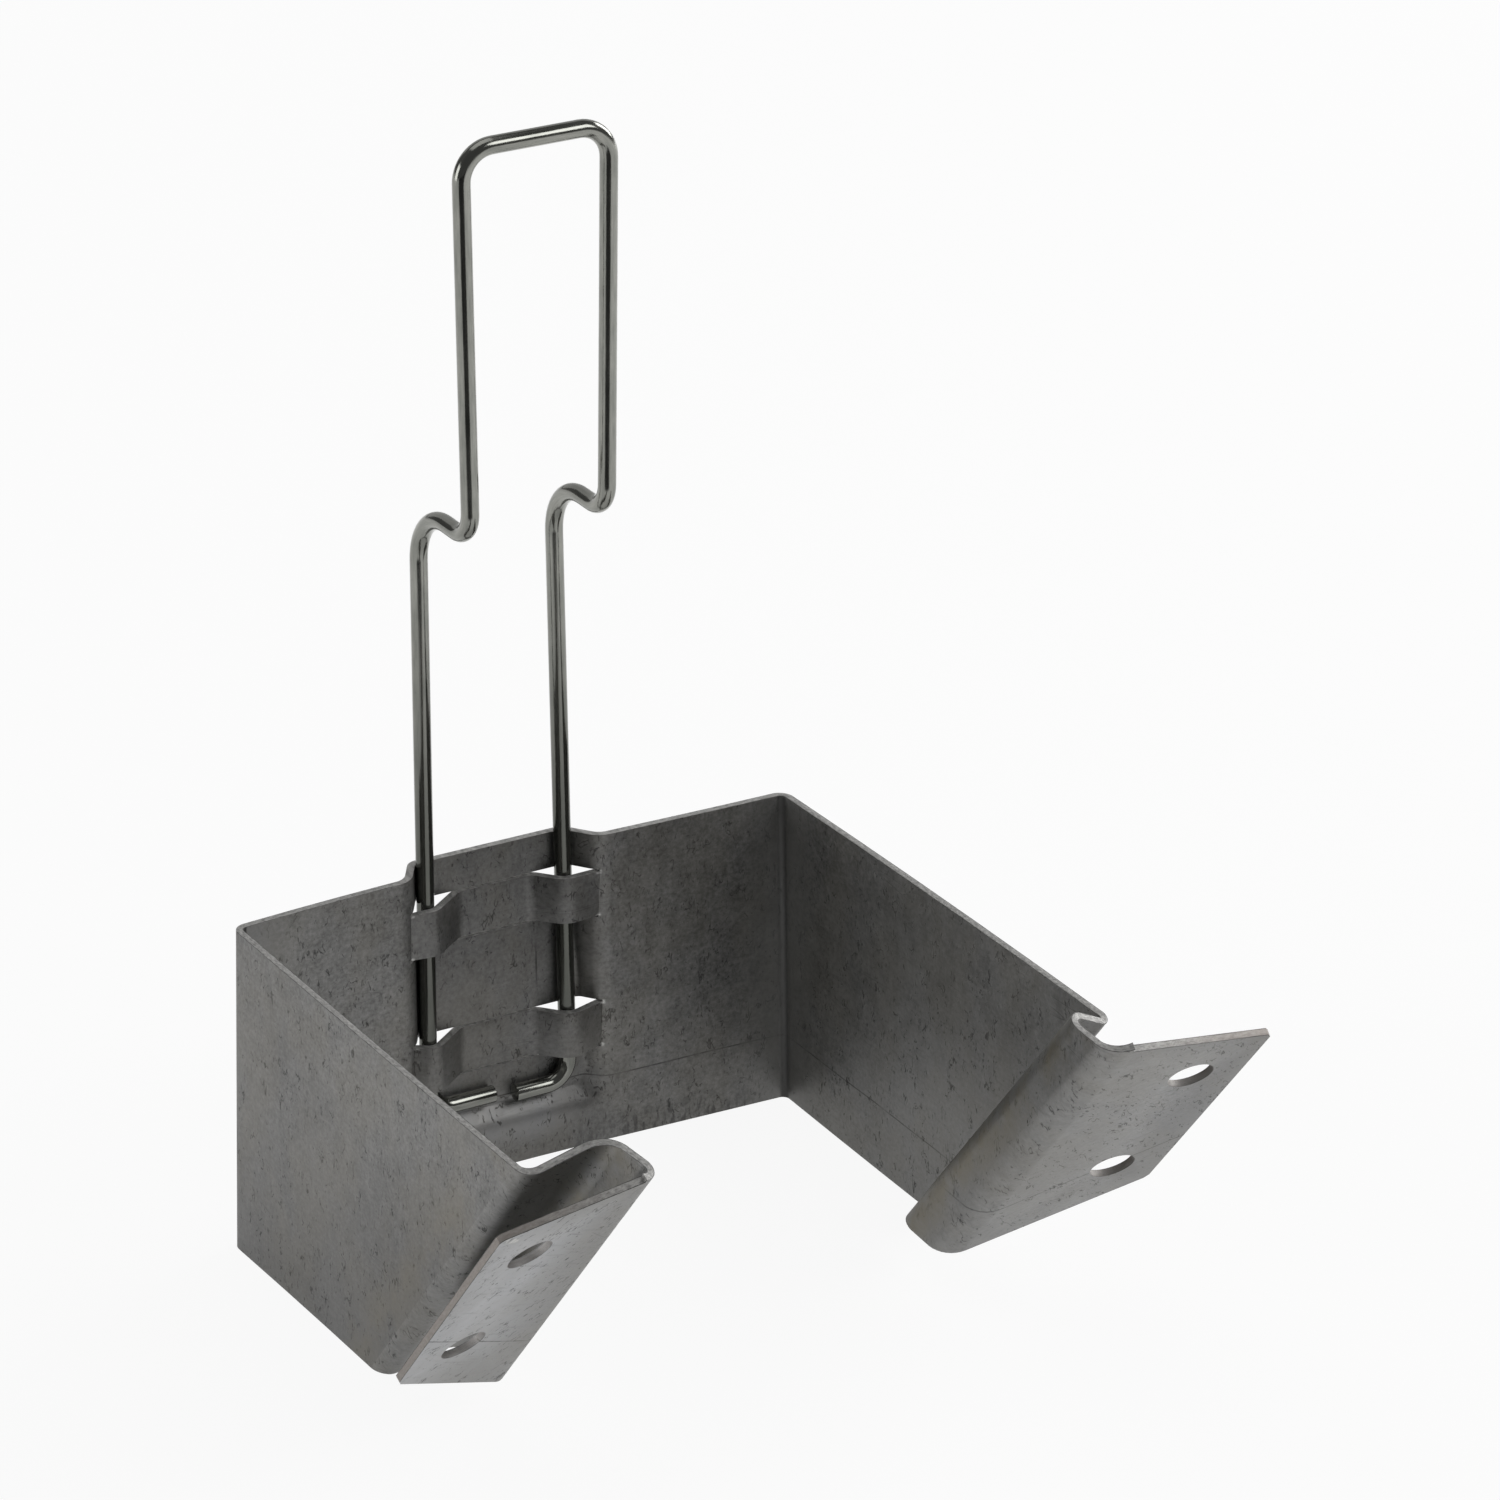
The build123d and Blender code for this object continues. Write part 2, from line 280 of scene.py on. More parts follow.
def flatPlaces(points, normals):
    # each point's place in the flat blank, its depth in the sheet, and whether it is on a bend,
    # on a flange, in a rear corner's crease or past the cheek
    p = np.asarray(points, float) / mm
    facing = np.asarray(normals, float)
    half = sheet["thickness"] / 2
    rake = radians(sheet["rake"])
    halfWidth = sheet["outsideWidth"] / 2 - half
    foldY = half - sheet["backBow"] - sheet["cheekBottom"]
    right = p[:, 0] > 0
    x, y, z = np.abs(p[:, 0]), p[:, 1], p[:, 2]
    cornerX, cornerY = rearCorners(right, z)

    # past the cheek: the nearest place on the fold's line
    forward = -(y - foldY) * cos(rake) - z * sin(rake)
    upRake = -(y - foldY) * sin(rake) + z * cos(rake)
    outward = x - halfWidth
    line = foldLine()
    gap = (forward[:, None] - line[None, :, 0]) ** 2 + (outward[:, None] - line[None, :, 1]) ** 2
    nearest = gap.argmin(1)
    closest = line[nearest]
    tangent = np.gradient(line[:, :2], axis=0)[nearest]
    tangent /= np.linalg.norm(tangent, axis=1)[:, None]
    normal = np.stack([-tangent[:, 1], tangent[:, 0]], 1)
    foldDepth = (forward - closest[:, 0]) * normal[:, 0] + (outward - closest[:, 1]) * normal[:, 1]
    along = closest[:, 2]
    onFold = forward > 0
    onCheek = ~onFold & (x - cornerX > y - cornerY)

    # the cheek leans out to its rear corner
    frontY = foldY - z * tan(rake)
    gone = np.clip((y - frontY) / (cornerY - frontY), 0, 1)
    cheekDepth = x - halfWidth - (cornerX - halfWidth - half) * gone ** 2

    # the back plate, and its recess, where the depth follows the way a face looks
    low, high = sheet["recess"]
    inRecess = (p[:, 0] > low) & (p[:, 0] < high)
    backDepth = np.where(inRecess, half * np.clip(2 * facing[:, 1], -1, 1),
                         y - backMiddle(x, cornerX, cornerY))

    flatY = np.where(onFold, foldY - along * cos(rake) - upRake * sin(rake), y)
    flatZ = np.where(onFold, -along * sin(rake) + upRake * cos(rake), z)
    strip = np.where(onFold | onCheek, halfWidth + half - sheet["backBow"] - flatY, x)
    depth = np.where(onFold, foldDepth, np.where(onCheek, cheekDepth, backDepth))
    depth = np.clip(depth, -half, half)
    flat = np.stack([np.where(right, strip, -strip), flatZ, depth * sheet["sideSpread"]], 1) * mm
    bent = np.where(onFold, closest[:, 3], 0.0)
    flange = onFold * np.clip((along - line[-1, 2] + sheet["runs"][2]) / sheet["flangeGrows"], 0, 1)
    inside = np.hypot(x - cornerX + sheet["thickness"], y - cornerY + sheet["thickness"])
    crease = np.clip((sheet["creaseReach"] - inside) / sheet["creaseSoft"], 0, 1)
    return flat, depth, bent, flange, crease, onFold


def cutEdges(mesh, depth, onFold):
    # cut edges face up or down their part of the blank, or span its thickness
    shares = np.zeros(len(mesh.polygons), np.float32)
    rake = radians(sheet["rake"])
    alongRake = Vector((0, -sin(rake), cos(rake)))
    holes = [Vector(m["pos_m"]) + end * m["dims"]["pcd_mm"] / 2 * mm * alongRake
             for m in frame["record"]["mounts"] if m["kind"] == "bolt_pattern" for end in (-1, 1)]
    for f in mesh.polygons:
        corners = list(f.vertices)
        through = depth[corners].max() - depth[corners].min() > sheet["edgeSpan"]
        folded = onFold[corners].all()
        upward = abs(f.normal.dot(alongRake)) if folded else abs(f.normal.z)
        level = f.center.z / mm
        onRim = folded or level > sheet["height"] - sheet["rimBand"] or level < sheet["rimBand"]
        if min((f.center - hole).length for hole in holes) < sheet["holeReach"] * mm:
            shares[f.index] = sheet["holeShare"] if through else 0
        elif upward > sheet["rimFacing" if onRim else "edgeFacing"] or (folded and through):
            shares[f.index] = 1
    return shares


def makeBracket(node):
    bm = bmesh.new()
    bm.from_mesh(node.data)
    bmesh.ops.remove_doubles(bm, verts=bm.verts, dist=sheet["weld"] * mm)
    bmesh.ops.dissolve_limit(bm, angle_limit=radians(sheet["flatAngle"]), verts=bm.verts, edges=bm.edges)
    bm.normal_update()
    sharp = [e for e in bm.edges
             if len(e.link_faces) == 2 and e.calc_face_angle(0) > radians(sheet["edgeAngle"])]
    bmesh.ops.bevel(bm, geom=sharp, offset=sheet["edgeEase"] * mm, segments=2, profile=0.6,
                    affect="EDGES", clamp_overlap=True)
    bmesh.ops.triangulate(bm, faces=[f for f in bm.faces if len(f.verts) > 4])
    bm.normal_update()
    mesh = bpy.data.meshes.new("bracketSheet")
    bm.to_mesh(mesh)
    bm.free()
    piece = bpy.data.objects.new("bracketSheet", mesh)
    bpy.context.scene.collection.objects.link(piece)

    flat, depth, bent, flange, crease, onFold = flatPlaces([v.co for v in mesh.vertices],
                                                           [v.normal for v in mesh.vertices])
    place = mesh.attributes.new("sheetPlace", "FLOAT_VECTOR", "POINT")
    place.data.foreach_set("vector", flat.astype(np.float32).ravel())
    for name, share in (("bent", bent), ("flange", flange), ("rearCrease", crease)):
        marks = mesh.attributes.new(name, "FLOAT", "POINT")
        marks.data.foreach_set("value", share.astype(np.float32))
    edges = cutEdges(mesh, depth, onFold)
    marks = mesh.attributes.new("cutEdge", "FLOAT", "FACE")
    marks.data.foreach_set("value", edges)
    mesh.shade_smooth()
    mesh.set_sharp_from_angle(angle=radians(sheet["smoothAngle"]))
    print("rear crease points:", np.count_nonzero(crease))
    print("cut edge faces:", np.count_nonzero(edges), "of", len(edges))
    return piece


bracketSheet = makeBracket(frame["nodes"]["bracket"])
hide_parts("bracket")
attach(bracketSheet, "root")
print("bracket sheet:", len(bracketSheet.data.polygons), "faces")


# wire bail: a filleted path and a round section, in Geometry Nodes

bail = {
    "diameter": 3.5, "shift": -2.85, "tilt": 3.4, "yFoot": 0.35, "footHeight": 16.0, "rightDrop": 1.0,
    "stepHeight": 142.0, "topHeight": 218.8, "step": 20.6, "leanBack": 2.4,
    "widths": (31.3, 29.4, 31.4),                 # foot, step, top
    "bends": (5.0, 10.6, 5.4, 6.35),              # foot, rear, front, top
    "leftEnd": 14.4, "rightEnd": 12.2, "bendSteps": 14, "sides": 32,
    "endEase": 0.18, "endAngle": 60.0, "smoothAngle": 40.0,
}


def bailCorners():
    # the path's corners with their bend radii, from the left foot over the top to the right foot
    lean = tan(radians(bail["tilt"]))
    rearY = bail["yFoot"] + (bail["stepHeight"] - bail["footHeight"]) * lean
    upperY = rearY - bail["step"]
    topY = upperY + (bail["topHeight"] - bail["stepHeight"]) * tan(radians(bail["leanBack"]))

    def leg(side, endLength, drop):
        y, z = bail["yFoot"] - drop * lean, bail["footHeight"] - drop
        foot, step, top = [bail["shift"] + side * width / 2 for width in bail["widths"]]
        footBend, rearBend, frontBend, topBend = bail["bends"]
        return [((foot - side * endLength, y, z), 0.0), ((foot, y, z), footBend),
                ((step, rearY, bail["stepHeight"]), rearBend),
                ((step, upperY, bail["stepHeight"]), frontBend),
                ((top, topY, bail["topHeight"]), topBend)]

    return leg(-1, bail["leftEnd"], 0.0) + leg(1, bail["rightEnd"], bail["rightDrop"])[::-1]


def wireTree(material):
    tree = bpy.data.node_groups.new("bentWire", "GeometryNodeTree")
    face = tree.interface
    face.new_socket("Path", in_out="INPUT", socket_type="NodeSocketGeometry")
    sockets = {}
    for name, kind in (("Wire Diameter", "NodeSocketFloat"), ("Bend Steps", "NodeSocketInt"),
                       ("Sides", "NodeSocketInt")):
        sockets[name] = face.new_socket(name, in_out="INPUT", socket_type=kind).identifier
    face.new_socket("Wire", in_out="OUTPUT", socket_type="NodeSocketGeometry")

    def kept(name):
        # stores a value along the curve for the material to read
        n = addNode(tree, "GeometryNodeStoreNamedAttribute", data_type="FLOAT", domain="POINT")
        n.inputs["Name"].default_value = name
        return n

    start = addNode(tree, "NodeGroupInput")
    end = addNode(tree, "NodeGroupOutput")
    toCurve = addNode(tree, "GeometryNodeMeshToCurve")
    fillet = addNode(tree, "GeometryNodeFilletCurve", mode="POLY")
    radius = addNode(tree, "GeometryNodeInputNamedAttribute", data_type="FLOAT")
    radius.inputs["Name"].default_value = "bendRadius"
    along = addNode(tree, "GeometryNodeSplineParameter")
    keepAlong = kept("alongWire")
    ring = addNode(tree, "GeometryNodeCurvePrimitiveCircle")
    around = addNode(tree, "GeometryNodeSplineParameter")
    keepAround = kept("aroundWire")
    tube = addNode(tree, "GeometryNodeCurveToMesh")
    tube.inputs["Fill Caps"].default_value = True
    real = addNode(tree, "GeometryNodeRealizeInstances")
    paint = addNode(tree, "GeometryNodeSetMaterial")
    paint.inputs["Material"].default_value = material
    half = times(tree, start.outputs["Wire Diameter"], 0.5)
    for source, socket in (
            (start.outputs["Path"], toCurve.inputs["Mesh"]),
            (toCurve.outputs["Curve"], fillet.inputs["Curve"]),
            (radius.outputs["Attribute"], fillet.inputs["Radius"]),
            (start.outputs["Bend Steps"], fillet.inputs["Count"]),
            (fillet.outputs["Curve"], keepAlong.inputs["Geometry"]),
            (along.outputs["Length"], keepAlong.inputs["Value"]),
            (start.outputs["Sides"], ring.inputs["Resolution"]),
            (half, ring.inputs["Radius"]),
            (ring.outputs["Curve"], keepAround.inputs["Geometry"]),
            (around.outputs["Factor"], keepAround.inputs["Value"]),
            (keepAlong.outputs["Geometry"], tube.inputs["Curve"]),
            (keepAround.outputs["Geometry"], tube.inputs["Profile Curve"]),
            (tube.outputs["Mesh"], real.inputs["Geometry"]),
            (real.outputs["Geometry"], paint.inputs["Geometry"]),
            (paint.outputs["Geometry"], end.inputs["Wire"])):
        tree.links.new(source, socket)
    return tree, sockets


def makeBail(material):
    corners = bailCorners()
    mesh = bpy.data.meshes.new("bailPath")
    mesh.from_pydata([Vector(p) * mm for p, _ in corners],
                     [(i, i + 1) for i in range(len(corners) - 1)], [])
    attr = mesh.attributes.new("bendRadius", "FLOAT", "POINT")
    attr.data.foreach_set("value", [r * mm for _, r in corners])
    path = bpy.data.objects.new("bailPath", mesh)
    bpy.context.scene.collection.objects.link(path)
    tree, sockets = wireTree(material)
    mod = path.modifiers.new("bentWire", "NODES")
    mod.node_group = tree
    mod[sockets["Wire Diameter"]] = bail["diameter"] * mm
    mod[sockets["Bend Steps"]] = bail["bendSteps"]
    mod[sockets["Sides"]] = bail["sides"]
    bpy.context.view_layer.update()
    graph = bpy.context.evaluated_depsgraph_get()
    done = bpy.data.meshes.new_from_object(path.evaluated_get(graph))
    done.name = "wireBail"
    bpy.data.objects.remove(path)
    bm = bmesh.new()
    bm.from_mesh(done)
    rims = [e for e in bm.edges
            if len(e.link_faces) == 2 and e.calc_face_angle(0) > radians(bail["endAngle"])]
    bmesh.ops.bevel(bm, geom=rims, offset=bail["endEase"] * mm, segments=3, profile=0.5, affect="EDGES")
    bmesh.ops.recalc_face_normals(bm, faces=bm.faces)
    bm.to_mesh(done)
    bm.free()
    piece = bpy.data.objects.new("wireBail", done)
    bpy.context.scene.collection.objects.link(piece)
    done.shade_smooth()
    done.set_sharp_from_angle(angle=radians(bail["smoothAngle"]))
    return piece


# sheet finish

# places and sizes on the flat blank are in mm, and shares run from 0 to 1; a rise says where a
# noise starts and stops growing into a mark, then its top and bottom value where not 1 and 0
finish = {
    "pale": (0.305, 0.303, 0.296), "zinc": (0.215, 0.214, 0.209), "dull": (0.130, 0.129, 0.126),
    "speck": (0.045, 0.045, 0.044), "tint": (0.235, 0.215, 0.170), "paintedSheen": (0.455, 0.46, 0.47),
    "edge": (0.53, 0.525, 0.51), "edgeDark": (0.06, 0.06, 0.06), "edgeTint": (0.33, 0.295, 0.27),
    "nick": (0.62, 0.62, 0.60),
    "metallic": 0.8, "bump": 0.35, "bumpHeight": 0.12,
    "noises": {
        "cloud": {"scale": 24, "detail": 3, "rough": 0.5},
        "mottle": {"scale": 230, "detail": 5, "rough": 0.62, "twist": 0.3, "stretch": (1.15, 0.85, 1)},
        "grain": {"scale": 1100, "detail": 4, "rough": 0.7},
        "streak": {"scale": 75, "detail": 4, "rough": 0.6, "stretch": (9, 0.7, 1)},
        "ragged": {"scale": 1150, "detail": 3, "rough": 0.62, "twist": 0.5,
                   "stretch": (1.5, 0.55, 1), "move": (0.3, 0.1, 0)},
        "cluster": {"scale": 95, "detail": 3, "rough": 0.6, "stretch": (1, 1, 1), "move": (0.7, 0.2, 0)},
        "bow": {"scale": 400, "detail": 2, "rough": 0.5, "twist": 0.4,
                "stretch": (1.5, 0.7, 1), "turn": -8, "move": (0.5, 0.6, 0)},
        "spots": {"scale": 300, "detail": 3, "rough": 0.6,
                  "stretch": (1.1, 0.8, 1), "move": (0.9, 0.1, 0)},
        "scuff": {"scale": 150, "detail": 4, "rough": 0.65,
                  "stretch": (0.5, 5, 1), "turn": -42, "move": (0.2, 0.4, 0)},
        "warmth": {"scale": 60, "detail": 4, "rough": 0.6,
                   "stretch": (1, 0.6, 1), "move": (0.13, 0.31, 0)},
        "strain": {"scale": 150, "detail": 4, "rough": 0.65,
                   "stretch": (1.0, 1.6, 1), "turn": -12, "move": (0.4, 0, 0)},
        "ruffle": {"scale": 330, "detail": 2, "rough": 0.5, "stretch": (2.6, 1.0, 1), "turn": -32},
        "shear": {"scale": 900, "detail": 3, "rough": 0.7, "stretch": (1, 1, 0.05)},
    },
    # how much each noise counts in the coat's tone, its roughness and its height
    "coat": {"cloud": 0.45, "mottle": 0.75, "grain": 1.20, "streak": 0.20},
    "coatStops": (0.22, 0.5, 0.80),
    "coatRough": {"mottle": 0.35, "grain": 0.45, "streak": 0.25},
    "roughRise": (0.25, 0.75, 0.60, 0.36),
    "markRough": 0.18,
    "coatHeight": {"mottle": 0.5, "grain": 0.35, "streak": 0.3},
    "markDepth": 0.4,

    "foldStart": 118.25,                      # where the blank turns into the fold
    # painted sheen on the flanges
    "flangeSheen": (0.28, 0.94),              # right and left flange
    # painted light on inner faces toward the folds and on outer faces in the folds
    "innerPaler": (75.0, 35.0, 0.42),         # start and length of its growth, and share
    "foldPaler": (11.0, 13.0),                # past the cheek's end: middle and reach
    "flangeEnd": (46.0, 10.0, 0.45),          # start and length of its growth, and share
    "cheekStart": 63.5,                       # where the blank turns into the cheek
    "cheekDarker": (0.42, 5.0, 0.10),           # at the foot, less per metre of height, and all over
    # painted pool of light where the recess foot faces up
    "paintedPool": (-5.0, 9.2, 24.0, 6.5),    # sideways, up, half width, half height
    "paintedPoolGain": (2.0, 1.5), "paintedPoolShare": 0.62,
    # painted shade over the recess and its straps
    "recessShade": (-2.0, 24.0), "recessShadeGain": 5.0, "recessShadeShare": 0.40,   # middle and reach

    # specks, pits, dashes and scratches
    "clustering": 0.32, "speckRise": (0.635, 0.69), "speckShare": 0.62,
    "pitScale": 190, "pitStretch": (1.2, 0.75, 1), "pitPick": 0.78, "pitSize": 0.40,
    "pitGain": 40.0, "pitShare": 0.9,
    "dashWidth": 0.034, "dashRise": (0.545, 0.60), "dashShare": (0.88, 0.83),   # off and on a flange
    # each set of scratches: its turn in degrees, its scale, its width in the noise and its shift
    "scratches": ((24, 60, 0.0022, 0.11), (-38, 80, 0.0018, 0.57), (78, 70, 0.0015, 0.83)),
    "scratchNoise": {"detail": 1, "rough": 0.4, "twist": 0.1, "stretch": (0.10, 2.2, 1)},
    "scratchBreaks": {"scale": 55, "detail": 2, "rough": 0.5, "stretch": (1, 1, 1)},
    "scratchRise": (0.54, 0.62), "scratchShare": 0.45, "scuffRise": (0.58, 0.74, 0.35),

    "millLine": (14.3, 0.24),                 # height and half width of the thin line round the blank
    "millWobble": 1.2, "millRise": (0.38, 0.56, 1.0, 0.45), "millShare": 0.95,
    "pressCrease": (7.1, 40.5, 0.3, 5.5),     # sideways, up, half width, half height
    "pressCreaseGain": 1.2,
    "warmthRise": (0.42, 0.58, 0.85), "warmAll": 0.2,
    "warmFold": (17.0, 7.0, 0.9), "warmCheek": (-5.0, 6.0, 0.35),   # middle, reach and share
    "strainRise": (0.48, 0.66, 0.4),

    # slit ends, where the straps were torn from the plate: sideways and up
    "nicks": ((-22.0, 21.3), (-22.0, 30.8), (19.9, 21.3), (19.9, 30.8),
              (-22.9, 50.1), (-22.9, 59.6), (18.6, 50.1), (18.6, 59.6)),
    "nickSize": (0.7, 0.6), "nickGain": 2.2, "nickRise": (0.42, 0.55, 1.0, 0.2),
    # on the left flange's upper corner, and along the back's lower edge, given as the painted light pool
    # at the recess foot is
    "burr": (-226.6, 47.6, 3.0, 1.1), "burrGain": 3.0, "burrRise": (0.46, 0.56, 0.9), "burrDark": 0.6,
    "ruffled": (34.0, 1.0, 28.0, 5.5), "ruffledGain": 1.8, "ruffledRise": (0.50, 0.62),
    "ruffledShare": 0.5,

    # rear corners, with painted light beside them and painted shade in their crease, and cut edges
    "beside": (62.0, 13.0, 0.75), "creaseDark": 0.78,   # middle, reach and share
    "shearRise": (0.35, 0.70, 0.7), "flangeTint": 0.75,
    "rimRagged": 0.5, "rimRise": (0.76, 0.92, 0.85),
}


def sheetNoise(tree, s, name):
    return noise(tree, s.place, **finish["noises"][name])


def coatBlend(tree, s, weights):
    return blend(tree, [(getattr(s, name), weight) for name, weight in weights.items()])


def band(tree, source, middle, reach):
    return near(tree, source, middle * mm, reach * mm)


def spot(tree, s, x, z, wide, tall):
    # a soft spot on the blank, 1 in its middle
    return times(tree, band(tree, s.across, x, wide), band(tree, s.up, z, tall))


def growth(tree, source, start, length):
    # 0 up to the start, 1 from a length further on
    return mathNode(tree, "DIVIDE", minus(tree, source, start * mm), length * mm, clamp=True)


def sheetGuides(tree):
    # which part and face of the sheet a point is on, and the noises that several marks share
    s = SimpleNamespace(place=attribute(tree, "sheetPlace", "Vector"))
    s.across, s.up, s.deep = axes(tree, s.place)
    s.edge, s.bent, s.flange, s.crease = [
        attribute(tree, name) for name in ("cutEdge", "bent", "flange", "rearCrease")]
    s.left = mathNode(tree, "LESS_THAN", s.across, 0.0)
    s.inner = mathNode(tree, "LESS_THAN", s.deep, 0.0)   # the faces toward the pocket
    s.outer = minus(tree, 1.0, s.inner)
    s.strip = mathNode(tree, "ABSOLUTE", s.across)
    # how far past the cheek's end, square to the fold
    rake = radians(sheet["rake"])
    foldWay = minus(tree, times(tree, s.strip, cos(rake)), times(tree, s.up, sin(rake)))
    s.foldWay = minus(tree, foldWay, finish["foldStart"] * mm * cos(rake))
    for name in finish["coat"]:
        setattr(s, name, sheetNoise(tree, s, name))
    return s


def zincCoat(tree, s):
    # broad clouds, mottling, fine grain and faint streaks up the blank
    shades = [finish[name] for name in ("dull", "zinc", "pale")]
    return ramp(tree, coatBlend(tree, s, finish["coat"]), list(zip(finish["coatStops"], shades)))


# painted light and shade on set zones of the blank, and some plainly darker zones
def paintedLightAndDarkZones(tree, s, colour):
    # painted sheen on the flanges, the left one most
    sheen = times(tree, s.flange, fade(tree, s.left, *finish["flangeSheen"]))
    colour = mixColour(tree, sheen, colour, finish["paintedSheen"])

    # painted light: inner faces paler toward the folds, and outer faces paler in the folds
    start, length, share = finish["innerPaler"]
    paler = times(tree, growth(tree, s.strip, start, length), minus(tree, 1.0, s.flange), s.inner, share)
    inFold = times(tree, band(tree, s.foldWay, *finish["foldPaler"]), s.outer)
    colour = mixColour(tree, largest(tree, paler, inFold), colour, finish["pale"])

    # the right flange is darker toward its free end, and the left cheek's outside toward its foot
    start, length, share = finish["flangeEnd"]
    flangeEnd = times(tree, growth(tree, s.foldWay, start, length), minus(tree, 1.0, s.left), share)
    colour = mixColour(tree, flangeEnd, colour, finish["dull"])
    atFoot, perMetre, allOver = finish["cheekDarker"]
    low = minus(tree, atFoot, times(tree, s.up, perMetre), clamp=True)
    onCheek = mathNode(tree, "GREATER_THAN", s.strip, finish["cheekStart"] * mm)
    behind = mathNode(tree, "LESS_THAN", s.foldWay, 0.0)
    cheekDarker = times(tree, s.left, s.outer, onCheek, behind, plus(tree, low, allOver))
    colour = mixColour(tree, cheekDarker, colour, finish["dull"])

    # a painted pool of light on the front face at the recess foot, and painted shade over the recess and
    # its straps
    x, z, wide, tall = finish["paintedPool"]
    sideGain, upGain = finish["paintedPoolGain"]
    foot = times(tree, times(tree, band(tree, s.across, x, wide), sideGain, clamp=True),
                 times(tree, band(tree, s.up, z, tall), upGain, clamp=True))
    foot = times(tree, foot, s.inner, finish["paintedPoolShare"])
    colour = mixColour(tree, foot, colour, finish["paintedSheen"])
    recessShade = times(tree, band(tree, s.across, *finish["recessShade"]), finish["recessShadeGain"], clamp=True)
    return mixColour(tree, times(tree, recessShade, finish["recessShadeShare"]), colour, finish["dull"])


def darkMarks(tree, s):
    # ragged specks in clusters, and a few deeper pits
    clustered = times(tree, minus(tree, sheetNoise(tree, s, "cluster"), 0.5), finish["clustering"])
    speck = rise(tree, plus(tree, sheetNoise(tree, s, "ragged"), clustered), *finish["speckRise"])
    cells = addNode(tree, "ShaderNodeTexVoronoi")
    cells.inputs["Scale"].default_value = finish["pitScale"]
    feed(tree, cells.inputs["Vector"], stretched(tree, s.place, finish["pitStretch"]))
    pick = axes(tree, cells.outputs["Color"])[0]
    size = times(tree, minus(tree, pick, finish["pitPick"], clamp=True), finish["pitSize"])
    pit = times(tree, minus(tree, size, cells.outputs["Distance"]), finish["pitGain"], clamp=True)
    mark = largest(tree, times(tree, speck, finish["speckShare"]), times(tree, pit, finish["pitShare"]))
    # short curved dashes: the level lines of a noise, shown only in small spots
    dash = times(tree, near(tree, sheetNoise(tree, s, "bow"), 0.5, finish["dashWidth"]),
                 rise(tree, sheetNoise(tree, s, "spots"), *finish["dashRise"]))
    mark = largest(tree, mark, times(tree, dash, fade(tree, s.flange, *finish["dashShare"])))
    return mark, largest(tree, speck, dash)


def scratchesAndScuffs(tree, s, colour):
    # thin scratches: the level lines of a long stretched noise, broken up
    lines = []
    for turn, scale, width, shift in finish["scratches"]:
        long = noise(tree, s.place, scale, turn=turn, move=(shift, shift, 0), **finish["scratchNoise"])
        where = noise(tree, s.place, move=(shift, 0, 0), **finish["scratchBreaks"])
        lines.append(times(tree, near(tree, long, 0.5, width), rise(tree, where, *finish["scratchRise"])))
    scratched = times(tree, largest(tree, *lines), finish["scratchShare"])
    colour = mixColour(tree, scratched, colour, finish["speck"])
    scuffed = rise(tree, sheetNoise(tree, s, "scuff"), *finish["scuffRise"])
    return mixColour(tree, scuffed, colour, finish["dull"])


def pressLines(tree, s, colour):
    # mill line round the blank's inner face, and the crease left on the recess floor by the press
    wobble = times(tree, minus(tree, s.cloud, 0.5), finish["millWobble"] * mm)
    millLine = band(tree, plus(tree, s.up, wobble), *finish["millLine"])
    millLine = times(tree, millLine, s.inner, rise(tree, s.mottle, *finish["millRise"]),
                     finish["millShare"])
    creaseLine = times(tree, spot(tree, s, *finish["pressCrease"]), finish["pressCreaseGain"], clamp=True)
    return mixColour(tree, largest(tree, millLine, creaseLine), colour, finish["speck"])


def foldWork(tree, s, colour):
    # warm tint where the folds were worked, and brighter stretched zinc along the bends
    warmth = rise(tree, sheetNoise(tree, s, "warmth"), *finish["warmthRise"])
    middle, reach, share = finish["warmFold"]
    onFold = times(tree, band(tree, s.foldWay, middle, reach), share)
    middle, reach, share = finish["warmCheek"]
    onCheek = times(tree, band(tree, s.foldWay, middle, reach), s.outer, share)
    warm = times(tree, warmth, plus(tree, largest(tree, onFold, onCheek), finish["warmAll"]))
    colour = mixColour(tree, warm, colour, finish["tint"])
    strained = rise(tree, sheetNoise(tree, s, "strain"), *finish["strainRise"])
    return mixColour(tree, times(tree, s.bent, strained), colour, finish["pale"])


def tornMetal(tree, s, colour):
    # bright torn metal at the slit ends, and the burr with its dark root
    torn = largest(tree, *[spot(tree, s, x, z, *finish["nickSize"]) for x, z in finish["nicks"]])
    torn = times(tree, times(tree, torn, finish["nickGain"], clamp=True),
                 rise(tree, s.grain, *finish["nickRise"]))
    burr = times(tree, spot(tree, s, *finish["burr"]), finish["burrGain"], clamp=True)
    torn = largest(tree, torn, times(tree, burr, rise(tree, s.mottle, *finish["burrRise"])))
    colour = mixColour(tree, times(tree, burr, finish["burrDark"]), colour, finish["speck"])
    colour = mixColour(tree, torn, colour, finish["nick"])
    # ruffled strip along the back's lower edge
    ruffled = times(tree, spot(tree, s, *finish["ruffled"]), finish["ruffledGain"], clamp=True)
    ruffled = times(tree, ruffled, rise(tree, sheetNoise(tree, s, "ruffle"), *finish["ruffledRise"]),
                    finish["ruffledShare"])
    return mixColour(tree, ruffled, colour, finish["speck"])


def rearCornerShade(tree, s, colour):
    # painted light beside the rear corners' inside, painted shade in their crease
    middle, reach, share = finish["beside"]
    beside = times(tree, band(tree, s.strip, middle, reach), s.inner, share)
    colour = mixColour(tree, beside, colour, finish["pale"])
    return mixColour(tree, times(tree, s.crease, finish["creaseDark"]), colour, finish["speck"])


